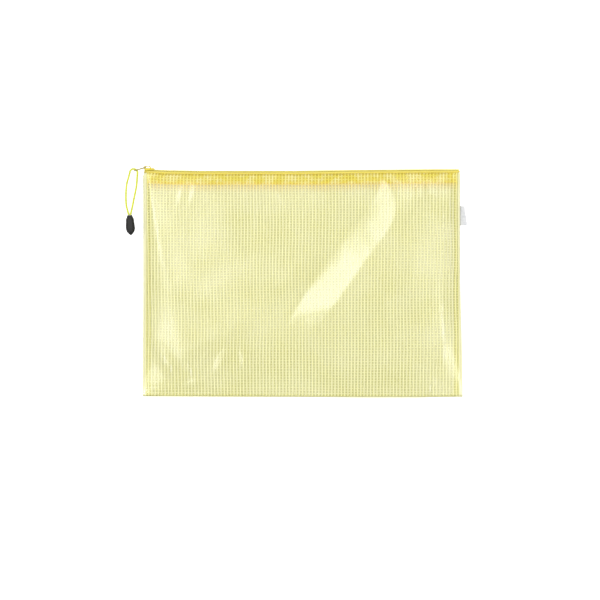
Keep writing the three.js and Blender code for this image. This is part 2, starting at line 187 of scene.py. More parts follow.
class materialKit:
    # a new material on the standard shader; its methods add nodes, fed by sockets or plain values, and most give back
    # the new node's outgoing socket

    def __init__(self, name, **inputs):
        self.material = bpy.data.materials.new(name)
        self.material.use_nodes = True
        self.nodes, self.links = self.material.node_tree.nodes, self.material.node_tree.links
        self.shader = self.nodes["Principled BSDF"]
        self.settle(self.shader, inputs)

    def feed(self, socket, value):
        # a socket is linked, and a colour or a number is set
        if isinstance(value, bpy.types.NodeSocket):
            self.links.new(value, socket)
        else:
            socket.default_value = (*value, 1) if socket.type == "RGBA" else value

    def settle(self, made, settings):
        # a setting goes to the input of its name, or else to the node's own property
        for key, value in settings.items():
            if key.replace("_", " ") in made.inputs:
                self.feed(made.inputs[key.replace("_", " ")], value)
            else:
                setattr(made, key, value)

    def node(self, kind, *sources, **settings):
        # sources feed the first inputs in their order
        made = self.nodes.new("ShaderNode" + kind)
        self.settle(made, settings)
        for socket, source in zip(made.inputs, sources):
            self.feed(socket, source)
        return made

    def uv(self):
        # the piece's own uv
        return self.node("UVMap", uv_map="weave").outputs[0]

    def place(self):
        # the piece's own x, y and z
        return self.node("TexCoord").outputs["Object"]

    def texture(self, kind, place, **settings):
        # strength of a Noise or Wave pattern at the place
        return self.node("Tex" + kind, place, **settings).outputs["Fac"]

    def maths(self, operation, *values):
        # an arithmetic result of the values
        return self.node("Math", *values, operation=operation).outputs[0]

    def share(self, value, start, end, low=0.0, high=1.0):
        # low at the start and before it, high at the end and past it, even in between
        return self.node("MapRange", value, From_Min=start, From_Max=end, To_Min=low, To_Max=high).outputs[0]

    def mix(self, share, under, over):
        # under where the share is 0, over where it is 1
        made = self.node("Mix", share, data_type="RGBA")
        self.feed(made.inputs[6], under)
        self.feed(made.inputs[7], over)
        return made.outputs[2]

    def ramp(self, share, stops):
        # the colour that (place, colour) stops give the share
        made = self.node("ValToRGB", share)
        elements = made.color_ramp.elements
        while len(elements) < len(stops):
            elements.new(0.5)
        for element, (place, colour) in zip(elements, stops):
            element.position = place
            element.color = (*colour, 1)
        return made.outputs[0]

    def done(self, colour, height, strength, depth):
        # the shader takes the colour, and the height as a relief of that depth
        bump = self.node("Bump", Height=height, Strength=strength, Distance=depth)
        self.feed(self.shader.inputs["Base Color"], colour)
        self.feed(self.shader.inputs["Normal"], bump.outputs[0])
        return self.material


def linear(red, green, blue):
    # a screen colour of 0 to 255 as the light it stands for
    c = np.array([red, green, blue]) / 255
    return tuple(float(v) for v in np.where(c <= 0.04045, c / 12.92, ((c + 0.055) / 1.055) ** 2.4))


def mouldedMaterial(name, stops, cloud, grain, relief, **inputs):
    # slow noise picks the colour from the stops and fine noise is the relief; cloud and grain are (scale, detail)
    # and relief is (strength, depth)
    kit = materialKit(name, **inputs)
    place = kit.place()
    tint, fine = (kit.texture("Noise", place, Scale=scale, Detail=detail) for scale, detail in (cloud, grain))
    return kit.done(kit.ramp(tint, stops), fine, *relief)


def finish(obj, material, body, slot, *replaced):
    # the piece's one material, the body it rides on and the CAD nodes that it replaces; slot is not used
    obj.data.materials.clear()
    obj.data.materials.append(material)
    if body:
        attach(obj, body)
    if replaced:
        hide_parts(*replaced)
    return obj


# Camera, straight above; span is what the picture's width takes in at the height of the pouch's top

view = {"aim": (-2.55 * mm, -18.1 * mm), "height": 1.8, "top": 9 * mm, "span": 632.1 * mm, "sensor": 36}
cameraData = bpy.data.cameras.new("camera")
cameraData.sensor_width = view["sensor"]
cameraData.lens = view["sensor"] * (view["height"] - view["top"]) / view["span"]
camera = linked(bpy.data.objects.new("camera", cameraData))
camera.location = (*view["aim"], view["height"])
bpy.context.scene.camera = camera
print("camera ready")


# Cord and its end

cord = {
    "diameter": 2.0 * mm,
    "sides": 20,
    "strands": 8,
    "pick": 2.6 * mm,
    "relief": 0.07,
    "perSpan": 14,
    "step": 0.32 * mm,
    "layAngle": 0.785,
    "uvTurn": 6,
    "eye": (-175.403, 118.939, 6.1),
    "loopRadius": 4.1,
    "loopShift": 0.12,
    "loopDrop": 0.4,
    "loopTurns": [180, 155, 130, 105, 75, 45, 22, 0],
    "eyeTurn": 45,
    "left": [(-8.15, -47.1, 2.75), (-9.5, -42.3, 2.8), (-10.6, -37.6, 2.9), (-11.1, -30.6, 3.2),
             (-10.9, -21.6, 3.7), (-10, -14, 4.4), (-8.4, -8.4, 5.2)],
    "right": [(0.95, -8.6, 5.8), (0.3, -15.9, 5.2), (-0.9, -22.5, 4.5), (-2.7, -30.4, 3.7),
              (-4.1, -37.4, 3.1), (-5.2, -42.1, 2.9), (-6.3, -47.1, 2.75)],
}


def cordMaterial():
    # the braid's lay is the product of two crossing waves on the piece's own uv: turns round by picks along
    kit = materialKit("lemonBraid", Roughness=0.78, Sheen_Weight=0.35)
    uv = kit.uv()
    waves = []
    for turn in (cord["layAngle"], -cord["layAngle"]):
        crossed = kit.node("Mapping", uv, Rotation=(0, 0, turn)).outputs[0]
        waves.append(kit.texture("Wave", crossed, Scale=3.2, Distortion=0.4))
    lay = kit.maths("MULTIPLY", *waves)
    stops = [(0.0, linear(192, 196, 44)), (0.35, linear(226, 234, 72)), (1.0, linear(246, 252, 108))]
    return kit.done(kit.ramp(lay, stops), lay, 0.5, 0.15 * mm)


def cordRoute():
    # up the left strand, round a circle that meets the tab's eye at eyeTurn, and down the right strand, and the eye's
    # number in the route; the strands' z is above the table and their x and y are from the eye, in millimetres
    degrees = np.array(cord["loopTurns"])
    a = np.radians(degrees)
    turn = np.stack([np.cos(a), np.sin(a)], -1) - np.sqrt(0.5)
    lift = -cord["loopDrop"] * np.clip((degrees - cord["eyeTurn"]) / (180 - cord["eyeTurn"]), 0, 1)
    loop = np.concatenate([cord["loopRadius"] * turn + cord["loopShift"], lift[:, None]], 1)
    strands = np.array(cord["left"] + cord["right"]) - (0, 0, cord["eye"][2])
    count = len(cord["left"])
    route = np.concatenate([strands[:count], loop, strands[count:]]) + cord["eye"]
    return route * mm, count + cord["loopTurns"].index(cord["eyeTurn"])


def buildCord():
    # a round tube whose radius swells where the braid's strands cross:
    # r = R (1 + relief cos(strands a / 2 + w) cos(strands a / 2 - w)), w growing one turn per pick
    route, eyePoint = cordRoute()
    whole = smoothPath(route, cord["perSpan"])
    split = eyePoint * cord["perSpan"]
    material = cordMaterial()
    turn = np.linspace(0, 2 * np.pi, cord["sides"], endpoint=False)[None]
    strands = []
    for name, path in (("pullCordLeft", whole[split::-1]), ("pullCordRight", whole[split:])):
        along = np.concatenate([[0], np.cumsum(np.linalg.norm(np.diff(path, axis=0), axis=1))])
        steps = np.linspace(0, along[-1], int(along[-1] / cord["step"]))
        path = np.stack([np.interp(steps, along, path[:, k]) for k in range(3)], -1)
        w = (2 * np.pi * steps / cord["pick"])[:, None]
        half = cord["strands"] / 2 * turn
        radius = cord["diameter"] / 2 * (1.0 + cord["relief"] * np.cos(half + w) * np.cos(half - w))
        around, along = turn / (2 * np.pi) * cord["uvTurn"], (steps / cord["diameter"])[:, None]
        uv = np.stack(np.broadcast_arrays(around, along), -1)
        section = radius[..., None] * circle(cord["sides"])
        piece = sweptTubes(name, path, *pathFrame(path, (0, 0, 1)), section, uv)
        finish(piece, material, "cord", "cord", "pull_cord")
        strands.append((piece, path, steps[-1]))
    return strands


softening = {"merge": 0.003 * mm, "flatAngle": 0.03, "edgeAngle": 0.5}


def softEdged(name, cadNode, width, segments=2):
    # a copy of the solid with its corners merged, its flat faces joined and its edges rounded
    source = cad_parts[cadNode]
    obj = linked(bpy.data.objects.new(name, source.data.copy()))
    bpy.context.view_layer.update()
    obj.data.transform(source.matrix_world)
    work = bmesh.new()
    work.from_mesh(obj.data)
    bmesh.ops.remove_doubles(work, verts=work.verts, dist=softening["merge"])
    bmesh.ops.dissolve_limit(work, angle_limit=softening["flatAngle"], verts=work.verts, edges=work.edges)
    work.to_mesh(obj.data)
    work.free()
    obj.data.polygons.foreach_set("use_smooth", np.full(len(obj.data.polygons), False))
    bevel = obj.modifiers.new("roundedEdges", "BEVEL")
    bevel.width = width
    bevel.segments = segments
    bevel.limit_method = "ANGLE"
    bevel.angle_limit = softening["edgeAngle"]
    return obj


def cordEndMaterial():
    # moulded black plastic with a fine grain, a little dusty
    stops = [(0.3, linear(12, 12, 11)), (0.75, linear(24, 24, 22))]
    return mouldedMaterial("blackMoulded", stops, (140.0, 3.0), (900.0, 6.0), (0.25, 0.05 * mm),
                           Roughness=0.5, Specular_IOR_Level=0.35)


strands = buildCord()
cordEnd = finish(softEdged("cordEnd", "cord_end", 0.35 * mm, 3), cordEndMaterial(), "cord", "black", "cord_end")
eye = tuple(np.array(cord["eye"]) * mm)
print("cord ready")


# Shape of the walls

def halfWidth(y):
    # half of a width that runs evenly from the fold's to the zipper's
    share = (y - pouch["foldY"]) / (pouch["chainFaceY"] - pouch["foldY"])
    return (pouch["bottomWidth"] + (pouch["topWidth"] - pouch["bottomWidth"]) * share) / 2


# How the real pouch lies out of true, in millimetres: the zipper line sags between its ends and the fold bows down at
# the right, both as (x, drop) pairs; leftOut and lowOut push the left edge and the lower corners out, and waist draws
# the right edge in (its middle y, its reach and its depth). Each span, in metres, is where one sets in and is whole.
lie = {
    "sag": [(-160, 0), (-156, 0.3), (-148, 0.75), (-139, 1.05), (-122, 1.3), (-112, 1.5), (-5, 1.5), (18, 1.15),
            (40, 0.9), (61, 0.55), (103, 0.2), (124, 0), (150, -0.1)],
    "bow": [(-168, 0.4), (-146, 0.5), (-60, 0.9), (0, 1.1), (30, 1.4), (60, 1.6), (125, 1.6), (145, 1.1), (168, 0.8)],
    "leftOut": 1.6,
    "lowOut": 0.9,
    "lowLeftShare": 0.4,
    "waist": (22, 36, 0.3),
    "sideSpan": (90 * mm, 166 * mm),
    "sagSpan": (50 * mm, 114 * mm),
    "bowSpan": (-119 * mm, -50 * mm),
    "lowSpan": (-100 * mm, 0),
    "chainSpan": (112 * mm, 117 * mm),
    "leftRise": 200 * mm,
}


def dropAt(x, key):
    # the sag's or the bow's drop at x, a mean over 12 mm
    places, drops = np.array(lie[key], float).T
    return np.mean([np.interp(x / mm + d, places, drops) for d in (-6, -3, 0, 3, 6)], 0) * mm


def settled(obj):
    # y falls by the sag near the zipper and by the bow near the fold; x shifts by the three side shifts, each times
    # its own share, and none of them reaches the chain
    points = cornerPlaces(obj).astype(float)
    x, y = points[:, 0].copy(), points[:, 1].copy()
    points[:, 1] -= dropAt(x, "sag") * smoothStep(y, *lie["sagSpan"])
    points[:, 1] -= dropAt(x, "bow") * (1 - smoothStep(y, *lie["bowSpan"]))
    left, right = smoothStep(-x, *lie["sideSpan"]), smoothStep(x, *lie["sideSpan"])
    middle, reach, draw = lie["waist"]
    shift = lie["leftOut"] * left * np.clip((y - pouch["foldY"]) / lie["leftRise"], 0, 1)
    shift += draw * right * np.exp(-((y / mm - middle) / reach) ** 2)
    shift -= lie["lowOut"] * (right - lie["lowLeftShare"] * left) * (1 - smoothStep(y, *lie["lowSpan"]))
    points[:, 0] -= shift * mm * (1 - smoothStep(y, *lie["chainSpan"]))
    obj.data.vertices.foreach_set("co", points.astype(np.float32).ravel())
    obj.data.update()
    return obj


def upShare(y):
    # 0 at the fold's axis, 1 at the wall's top
    return np.clip((y - foldAxisY) / (pouch["wallTopY"] - foldAxisY), 0, 1)


def wallTop(y):
    # rises fast from the fold as 1 - (1 - t)^3 and is level at the zipper
    return 2 * pouch["foldRadius"] + (pouch["mouth"] - 2 * pouch["foldRadius"]) * (1 - (1 - upShare(y)) ** 3)


def seamClimb(y):
    # 0 below the part of the seams that rises to the chain, 1 at the wall's top
    return smoothStep(y, pouch["wallTopY"] - pouch["seamRise"], pouch["wallTopY"])


def seamMiddle(y):
    # the seams lie at the fold's radius, then rise to the chain's middle
    return pouch["foldRadius"] + (pouch["chainZ"] - pouch["foldRadius"]) * seamClimb(y)


def frontSide(y):
    # width of the front wall's side curve: bottomSide at the fold, shrinking as (1 - share)^1.2 to mouthSide
    return pouch["mouthSide"] + (pouch["bottomSide"] - pouch["mouthSide"]) * (1 - upShare(y)) ** 1.2


def backSide(y):
    # width of the back wall's side curve: backBottomSide, then mouthSide where the seams rise
    return pouch["backBottomSide"] + (pouch["mouthSide"] - pouch["backBottomSide"]) * seamClimb(y)


# Creases of the front film, in millimetres. A band rises from its left line to its right line, at an even slope
# or one that grows towards the right line, and falls away slowly past it. Each edge pair is how far inside the wall's
# edge a kind of crease starts and is whole.
creases = {
    "bands": [
        {"left": [(118, 85), (98, 79), (66, 60), (37, 36), (16, 20), (-8, 4), (-34, -12), (-60, -30)],
         "right": [(118, 86), (107, 89), (98, 96), (86, 100.5), (71, 99), (53, 90), (13, 60), (-13, 42), (-34, 26),
                   (-60, 6)],
         "slope": 0.15, "power": 1.0, "fall": 75, "fade": (-74, -22), "top": (108, 114)},
        {"left": [(110, 10), (84, -8), (50, -50), (20, -92), (-20, -128), (-60, -160), (-90, -186)],
         "right": [(110, 74), (84, 52), (70, 36), (29, 8), (-2, -24), (-29, -50), (-50, -79), (-63, -103),
                   (-90, -150)],
         "slope": 0.034, "power": 1.4, "fall": 26, "fade": (-112, -66), "top": (70, 106)},
    ],
    "ridges": [  # x, y of the middle, half length, half width, height and lean in degrees
        (147.5, -52, 30, 2.6, 0.55, 1), (147.5, 60, 42, 2.0, 0.3, 0), (133.0, 95, 9, 3.5, 0.9, 0),
        (134.0, -105, 10, 2.8, 0.55, 2), (121.5, 92, 8, 2.6, 0.5, 0), (154.0, 84, 12, 2.2, 0.55, 0),
        (-126, 92, 10, 3.2, 0.36, -14), (-114, 93, 10, 3.2, 0.36, -14), (-47, 68, 14, 2.6, 0.32, -6),
        (-22, 91, 9, 2.6, 0.45, 32), (57, 111, 5, 3.0, 0.4, 40), (-84, -80, 14, 4.2, 1.05, -28),
        (-62, -80, 11, 3.0, 0.7, 12), (-118, -92, 12, 5.0, 1.1, 30), (-112, -104, 10, 3.6, 0.9, -60),
        (-142, -84, 18, 5.5, 1.3, 32), (-146, -112, 14, 2.6, 0.75, 84), (-100, 36, 30, 9.0, 0.2, 14),
        (-124, 2, 26, 9.0, 0.2, -30), (-130, -38, 24, 9.0, 0.3, 24),
        (118, 28, 36, 9.0, 0.3, -6), (-158, 24, 30, 3.0, 0.35, 0),
    ],
    "crumple": {"size": 0.03, "waves": 26, "lengths": (18, 70), "unit": 60, "seed": 11},
    "bandEdge": (1, 22),
    "smallEdge": (1, 8),
    "foldEdge": (0, 10),
    "topEdge": (1, 7.95),
}


def softLine(points, y):
    # x of a line given by (y, x) pairs, evened out by a short running mean
    spots = np.array(sorted(points), float)
    steps = np.linspace(-7, 7, 9) * mm
    return np.mean([np.interp((y + d) / mm, spots[:, 0], spots[:, 1]) for d in steps], 0)


def ridgeHeight(x, y):
    # a soft mound: one bell along its length times one across
    height = np.zeros_like(x)
    for cx, cy, length, width, top, lean in creases["ridges"]:
        a = np.radians(lean)
        along = (-np.sin(a) * (x / mm - cx) + np.cos(a) * (y / mm - cy)) / length
        across = (np.cos(a) * (x / mm - cx) + np.sin(a) * (y / mm - cy)) / width
        height += top * mm * np.exp(-along**2) * np.exp(-across**2)
    return height


def seededWaves(x, y, seed, count, lengths):
    # sine waves of seeded direction, length and phase, each with its length
    rng = np.random.default_rng(seed)
    for _ in range(count):
        angle, length, phase = rng.uniform(0, np.pi), rng.uniform(*lengths) * mm, rng.uniform(0, 2 * np.pi)
        yield np.sin(2 * np.pi * (x * np.cos(angle) + y * np.sin(angle)) / length + phase), length


def crumpleHeight(x, y):
    # a few dozen gentle waves, the longer the higher
    crumple = creases["crumple"]
    waves = seededWaves(x, y, crumple["seed"], crumple["waves"], crumple["lengths"])
    return crumple["size"] * mm * sum(wave * length / (crumple["unit"] * mm) for wave, length in waves)


def creaseHeight(x, y):
    # a band climbs by slope times width over power, as c^power, from its left line (c = 0) to its right one (c = 1),
    # and falls past it as a bell; the ridges and the crumple come on top, and all of it dies out at the wall's edges
    height = np.zeros_like(x)
    for band in creases["bands"]:
        left, right = softLine(band["left"], y), softLine(band["right"], y)
        width = np.maximum(right - left, 1.0)
        c = (x / mm - left) / width
        lift = band["slope"] * width * mm / band["power"]
        climb = np.where(c < 1, np.clip(c, 0, 1) ** band["power"], np.exp(-((c - 1) * width / band["fall"]) ** 2))
        fade = smoothStep(y / mm, *band["fade"]) * (1 - smoothStep(y / mm, *band["top"]))
        height += lift * climb * fade
    above, below, inside = (d / mm for d in (y - foldAxisY, pouch["wallTopY"] - y, halfWidth(y) - np.abs(x)))
    calm = smoothStep(above, *creases["foldEdge"]) * smoothStep(below, *creases["topEdge"])
    height *= smoothStep(inside, *creases["bandEdge"])
    small = (ridgeHeight(x, y) + crumpleHeight(x, y)) * smoothStep(inside, *creases["smallEdge"])
    return calm * (height + small)


def besideLevel(x, y, side, depth):
    # 0 over the level middle, 1 at the outer end of the side curve
    return np.clip((np.abs(x) - (halfWidth(y) - side)) / np.maximum(side - depth, 1e-6), 0, 1)


def frontHeight(x, y, depth=0.0):
    # the front wall, depth below its outer face: an elliptic fall from the wall's top to the seam, and the creases
    base = seamMiddle(y) + pouch["seamHalf"]
    u = besideLevel(x, y, frontSide(y), depth)
    return base + (wallTop(y) - base - depth) * np.sqrt(1 - u**2) + creaseHeight(x, y)


def backHeight(x, y, depth=0.0):
    # the back wall, depth above its outer, lower face: flat on the table, then an elliptic climb to the seam
    edge = seamMiddle(y) - pouch["seamHalf"]
    u = besideLevel(x, y, backSide(y), depth)
    return edge - (edge - depth) * np.sqrt(1 - u**2)


def acrossColumns(y, radius, depth, sideSteps, middleSteps):
    # x of each column: even steps between the side curves, equal turns inside them
    turn = np.linspace(0, np.pi / 2, sideSteps + 1)[1:]
    level = (halfWidth(y) - radius)[:, None]
    right = level + (radius[:, None] - depth) * np.sin(turn)[None]
    middle = level * np.linspace(-1, 1, middleSteps + 1)[None]
    return np.concatenate([-right[:, ::-1], middle, right], 1)


# The back wall's weave lies half a yarn aside, a little stretched and turned against the front wall's.
weave = {"acrossPitch": 3.445 * mm, "upPitch": 2.82 * mm}
turnedWeave = {"stretch": 1.0012, "shift": weave["acrossPitch"] / 2, "shear": 0.0067, "skew": 0.0045}


def weaveUv(x, y):
    # x and y counted in yarns
    return np.stack([x / weave["acrossPitch"], y / weave["upPitch"]], -1)


# Steps of the walls' grids: in each side curve, over the level middle, and from the fold to the top.
grid = {"front": (16, 140), "frontRows": 118, "back": (8, 60), "backRows": 90, "foldSteps": 12}


def wallGrid(y, side, heightAt, depth, steps):
    # one face of a wall: rows at each y, columns over its level middle and its side curves
    x = acrossColumns(y, side, depth, *steps)
    yy = np.broadcast_to(y[:, None], x.shape)
    return np.stack([x, yy, heightAt(x, yy, depth)], -1)


def foldBend(x, turn, radius):
    # points of the fold's half turn from the front wall to the back: y falls by radius sin, z swings by radius cos
    x, turn = np.broadcast_arrays(x, turn)
    return np.stack([x, foldAxisY - radius * np.sin(turn), pouch["foldRadius"] + radius * np.cos(turn)], -1)


def frontFilm():
    # the front wall's two faces, from just above the fold to the wall's top
    y = np.linspace(pouch["seamLowY"], pouch["wallTopY"], grid["frontRows"])
    outer, inner = (wallGrid(y, frontSide(y), frontHeight, depth, grid["front"]) for depth in (0.0, pouch["film"]))
    return closedSheet("frontFilm", outer, inner, weaveUv(outer[..., 0], outer[..., 1]))


def backFilm():
    # the flat back, and the fold as a half turn that comes round to the front wall's edge; the uv runs on along it
    y = np.linspace(foldAxisY, pouch["wallTopY"], grid["backRows"])
    turn = np.linspace(0, np.pi, grid["foldSteps"] + 1)[:-1]
    layers = []
    for depth in (0.0, pouch["film"]):
        flat = wallGrid(y, backSide(y), backHeight, depth, grid["back"])
        layers.append(np.concatenate([foldBend(flat[:1, :, 0], turn[:, None], pouch["foldRadius"] - depth), flat]))
    x = layers[0][..., 0]
    along = np.concatenate([foldAxisY - pouch["foldRadius"] * (np.pi - turn), y])
    return closedSheet("backFilm", *layers, weaveUv(x, along[:, None] + 0 * x))


# The yarns lie at depth below the film's outer face, end inset short of the sides, and run from low to high. Each
# edge pair is how far inside its edge a yarn starts to stray and strays in full; the outermost wefts lie there too.
yarn = {
    "warpWidth": 1.62 * mm, "weftWidth": 0.62 * mm, "thickness": 0.2 * mm, "depth": 0.2 * mm, "inset": 0.9 * mm,
    "low": foldAxisY + 0.2 * mm, "high": pouch["wallTopY"] - 0.3 * mm, "foldGap": 0.62 * mm,
    "stray": 1.3 * mm, "waves": 6, "lengths": (70, 190),
    "sideEdge": (1 * mm, 6 * mm), "foldEdge": (1 * mm, 6 * mm), "topEdge": (0.3 * mm, 5 * mm),
    "columns": 52, "rows": 46, "samples": 500, "warpSteps": 100, "weftSteps": 120, "foldSteps": 8,
}


def weftShare():
    # steps from -1 to 1 along a weft, closer at its ends: 0.35 of a sine and 0.65 even
    even = np.linspace(-1, 1, yarn["weftSteps"])
    return 0.35 * np.sin(even * np.pi / 2) + 0.65 * even


def cutSpan(inside, values):
    # first and last value at which each row of the grid is inside
    first, last = inside.argmax(1), inside.shape[1] - 1 - inside[:, ::-1].argmax(1)
    keep = inside.any(1) & (last > first + 4)
    return keep, values[first], values[last]


def wander(x, y, seed):
    # how far a yarn strays: the mean of a few long waves
    return yarn["stray"] * sum(wave / yarn["waves"] for wave, _ in
                               seededWaves(x, y, seed, yarn["waves"], yarn["lengths"]))


def warpYarns(seed, stretch, shift, shear):
    # yarns up the wall, at x = stretch c + shift + shear y; their stray dies out at the sides
    columns = np.arange(-yarn["columns"], yarn["columns"] + 1)[:, None] * weave["acrossPitch"] * stretch + shift
    yAll = np.linspace(yarn["low"], yarn["high"], yarn["samples"])
    keep, y0, y1 = cutSpan(np.abs(columns + shear * yAll[None]) < halfWidth(yAll[None]) - yarn["inset"], yAll)
    y = (y0[:, None] + (y1 - y0)[:, None] * np.linspace(0, 1, yarn["warpSteps"])[None])[keep]
    x = columns[keep] + shear * y
    return x + wander(x, y, seed) * smoothStep(halfWidth(y) - np.abs(x), *yarn["sideEdge"]), y


def weftYarns(seed, stretch, skew):
    # yarns across the wall, at y = stretch r + skew x; their stray dies out at the fold and at the wall's top
    low, high, foldEdge, topEdge = (yarn[key] for key in ("low", "high", "foldEdge", "topEdge"))
    rows = np.arange(-yarn["rows"], yarn["rows"])[:, None] * weave["upPitch"] * stretch
    xAll = np.linspace(-1, 1, yarn["samples"])[None] * (pouch["bottomWidth"] / 2)
    within = rows + skew * xAll
    keep, x0, x1 = cutSpan((within > low + foldEdge[0]) & (within < high - topEdge[0])
                           & (np.abs(xAll) < halfWidth(within) - yarn["inset"]), xAll[0])
    x = ((x0 + x1)[:, None] / 2 + (x1 - x0)[:, None] / 2 * weftShare()[None])[keep]
    y = rows[keep] + skew * x
    calm = smoothStep(y - low, *foldEdge) * smoothStep(high - y, *topEdge)
    return x, y + wander(x, y, seed + 1) * calm


def scrim(name, heightAt, seed, stretch=1.0, shift=0.0, shear=0.0, skew=0.0, foldTurn=False):
    # both sets of flat yarns at a wall's height; foldTurn takes the warp round the fold and lays one weft along it
    warp, weft = (np.stack([x, y, heightAt(x, y, yarn["depth"])], -1)
                  for x, y in (warpYarns(seed, stretch, shift, shear), weftYarns(seed, stretch, skew)))
    if foldTurn:
        turn = np.linspace(0, np.pi, yarn["foldSteps"] + 1)[None, :-1]
        warp = np.concatenate([foldBend(warp[:, :1, 0], turn, pouch["foldRadius"] - yarn["depth"]), warp], 1)
        x = weftShare() * (pouch["bottomWidth"] / 2 - yarn["inset"])
        edge = np.stack(np.broadcast_arrays(x, pouch["foldY"] + yarn["foldGap"], pouch["foldRadius"]), -1)
        weft = np.concatenate([weft, edge[None]])
    parts = []
    for run, paths, width, side in (("Warp", warp, yarn["warpWidth"], (1.0, 0, 0)),
                                    ("Weft", weft, yarn["weftWidth"], (0, -1.0, 0))):
        tangent = normalised(np.gradient(paths, axis=1))
        up = normalised(np.cross(np.array(side), tangent))
        diamond = np.array([(1, 0), (0, 1), (-1, 0), (0, -1)]) * (width / 2, yarn["thickness"] / 2)
        parts.append(sweptTubes(name + run, paths, normalised(np.cross(tangent, up)), up, diamond, weaveUv))
    return parts


# Where the rim attribute climbs.
rimReach = {"sides": (-10 * mm, -0.5 * mm), "fold": 1.8 * mm}


def setRim(obj):
    # attribute rim: a smooth step from 0 to 1 along the sides and an even climb to the fold, the greater of the two
    x, y, _ = cornerPlaces(obj).T
    side = smoothStep(np.abs(x) - halfWidth(y), *rimReach["sides"])
    fold = 1 - (y - pouch["foldY"]) / rimReach["fold"]
    rim = np.clip(np.maximum(side, fold), 0, 1)
    obj.data.attributes.new("rim", "FLOAT", "POINT").data.foreach_set("value", rim.astype(np.float32))
    return obj


def lensWeight(obj):
    # reads the x of each corner and does nothing more: no weight is worked out
    x = cornerPlaces(obj)[:, 0]


def opens(obj):
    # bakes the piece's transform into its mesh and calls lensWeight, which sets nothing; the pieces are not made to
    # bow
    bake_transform(obj)
    lensWeight(obj)
    return obj


# Film and yarn finishes

# the rim's pale colour: partly the whiter turned film, partly painted light that lifts the shade on the walls' steep
# edges and fold
paintedRimLight = linear(247, 244, 192)
seamShade = linear(253, 247, 146)
peachGlow = linear(250, 230, 146)
filmCloth = (linear(240, 224, 74), linear(249, 238, 126))
yarnCloth = (linear(248, 238, 118), linear(254, 248, 184))

# Where the tints lie: seam and rim as (start, end, most) of the rim attribute, glow and cloth as the y where each
# starts and is whole, in millimetres; the glow's line strays by glowStray yarns of noise about glowMean. The rim's
# pale tint is partly painted light.
tintReach = {"seam": (0.04, 0.2, 0.4), "rim": (0.7, 0.92, 1.0), "glow": (96.0, 105.0), "cloth": (104.2, 105.6),
             "glowStray": 1.6, "glowMean": 0.8, "rimAlpha": 0.86}


def seamTintAndPaintedRimLight(kit, colour):
    # the film is a deeper yellow where the rim attribute starts to rise, and pale over about the outer three
    # millimetres and at the fold; the paleness is partly the whiter turned film and partly painted light that lifts
    # the shade on the steep edges
    rim = kit.node("Attribute", attribute_name="rim").outputs["Fac"]
    for reach, shade in (("seam", seamShade), ("rim", paintedRimLight)):
        start, end, most = tintReach[reach]
        share = kit.share(rim, start, end, 0.0, most)
        colour = kit.mix(share, colour, shade)
    return colour, share


def tapeTint(kit, colour, uv, cloth):
    # the tape shows through: a peach glow grows towards its edge from below, at a line that wanders with noise, and
    # over the cloth itself the film drifts between a mustard and a pale shade
    height = kit.node("SeparateXYZ", uv).outputs["Y"]
    stray = kit.texture("Noise", uv, Scale=0.16, Detail=2.0)
    wavy = kit.maths("MULTIPLY_ADD", stray, tintReach["glowStray"], height)
    patches = kit.ramp(kit.texture("Noise", uv, Scale=0.34, Detail=2.0), [(0.42, cloth[0]), (0.6, cloth[1])])
    glow, over = ("glow", tintReach["glowMean"], wavy, peachGlow), ("cloth", 0.0, height, patches)
    for reach, mean, line, shade in (glow, over):
        start, end = (edge * mm / weave["upPitch"] + mean for edge in tintReach[reach])
        colour = kit.mix(kit.share(line, start, end), colour, shade)
    return colour


def filmMaterial(name, tint, deep, alpha):
    # clear pressed vinyl: the weave's print is the greater of a cosine of u and one of v, and slow noise drifts the
    # colour
    kit = materialKit(name, Roughness=0.22, Alpha=alpha, IOR=1.53, Coat_Weight=1.0, Coat_Roughness=0.13)
    uv = kit.uv()
    split = kit.node("SeparateXYZ", uv)
    ribs = [kit.maths("COSINE", kit.maths("MULTIPLY", split.outputs[axis], 2 * np.pi)) for axis in "XY"]
    drift = kit.ramp(kit.texture("Noise", uv, Scale=0.09, Detail=3.0), [(0.32, deep), (0.68, tint)])
    # the seam's deeper yellow and the rim's pale tint, partly painted light, go over the drift
    colour, rimShare = seamTintAndPaintedRimLight(kit, tapeTint(kit, drift, uv, filmCloth))
    kit.feed(kit.shader.inputs["Alpha"], kit.share(rimShare, 0.0, 1.0, alpha, tintReach["rimAlpha"]))
    return kit.done(colour, kit.maths("MAXIMUM", *ribs), 0.15, 0.12 * mm)


def yarnMaterial(name, light, shade, overTape=False):
    # soft filament yarn: fine streaks from noise; the translucent scrim takes the tape's colour where it covers it
    kit = materialKit(name, Roughness=0.6, Sheen_Weight=0.2)
    fibre = kit.texture("Noise", kit.place(), Scale=1400.0, Detail=4.0)
    colour = kit.ramp(fibre, [(0.3, shade), (0.7, light)])
    if overTape:
        # over the tape's colour come the seam's deeper yellow and the rim's pale tint, which is partly painted light
        colour, _ = seamTintAndPaintedRimLight(kit, tapeTint(kit, colour, kit.uv(), yarnCloth))
    return kit.done(colour, fibre, 0.3, 0.05 * mm)


clearFilm = filmMaterial("clearYellowFilm", linear(254, 252, 178), linear(248, 245, 152), 0.28)
seamFilm = filmMaterial("turnedSeamFilm", linear(255, 254, 186), linear(253, 250, 160), 0.5)
scrimYarn = yarnMaterial("lemonYarn", linear(252, 250, 220), linear(248, 246, 204), overTape=True)

frontFilmPiece = opens(finish(setRim(settled(frontFilm())), clearFilm, None, "film", "front_panel"))
for piece in scrim("frontScrim", frontHeight, 3):
    opens(finish(setRim(settled(piece)), scrimYarn, None, "film"))
backFilmPiece = finish(setRim(settled(backFilm())), clearFilm, "pouch", "film", "back_panel")
for piece in scrim("backScrim", backHeight, 7, **turnedWeave, foldTurn=True):
    finish(setRim(settled(piece)), scrimYarn, "pouch", "film")
print("walls ready")


seam = {"inset": 0.42 * mm, "allowance": 8.5 * mm, "halfThickness": 0.33 * mm,
        "ripples": [(0.35 * mm, 9 * mm, 0), (0.2 * mm, 3.7 * mm, 1)]}


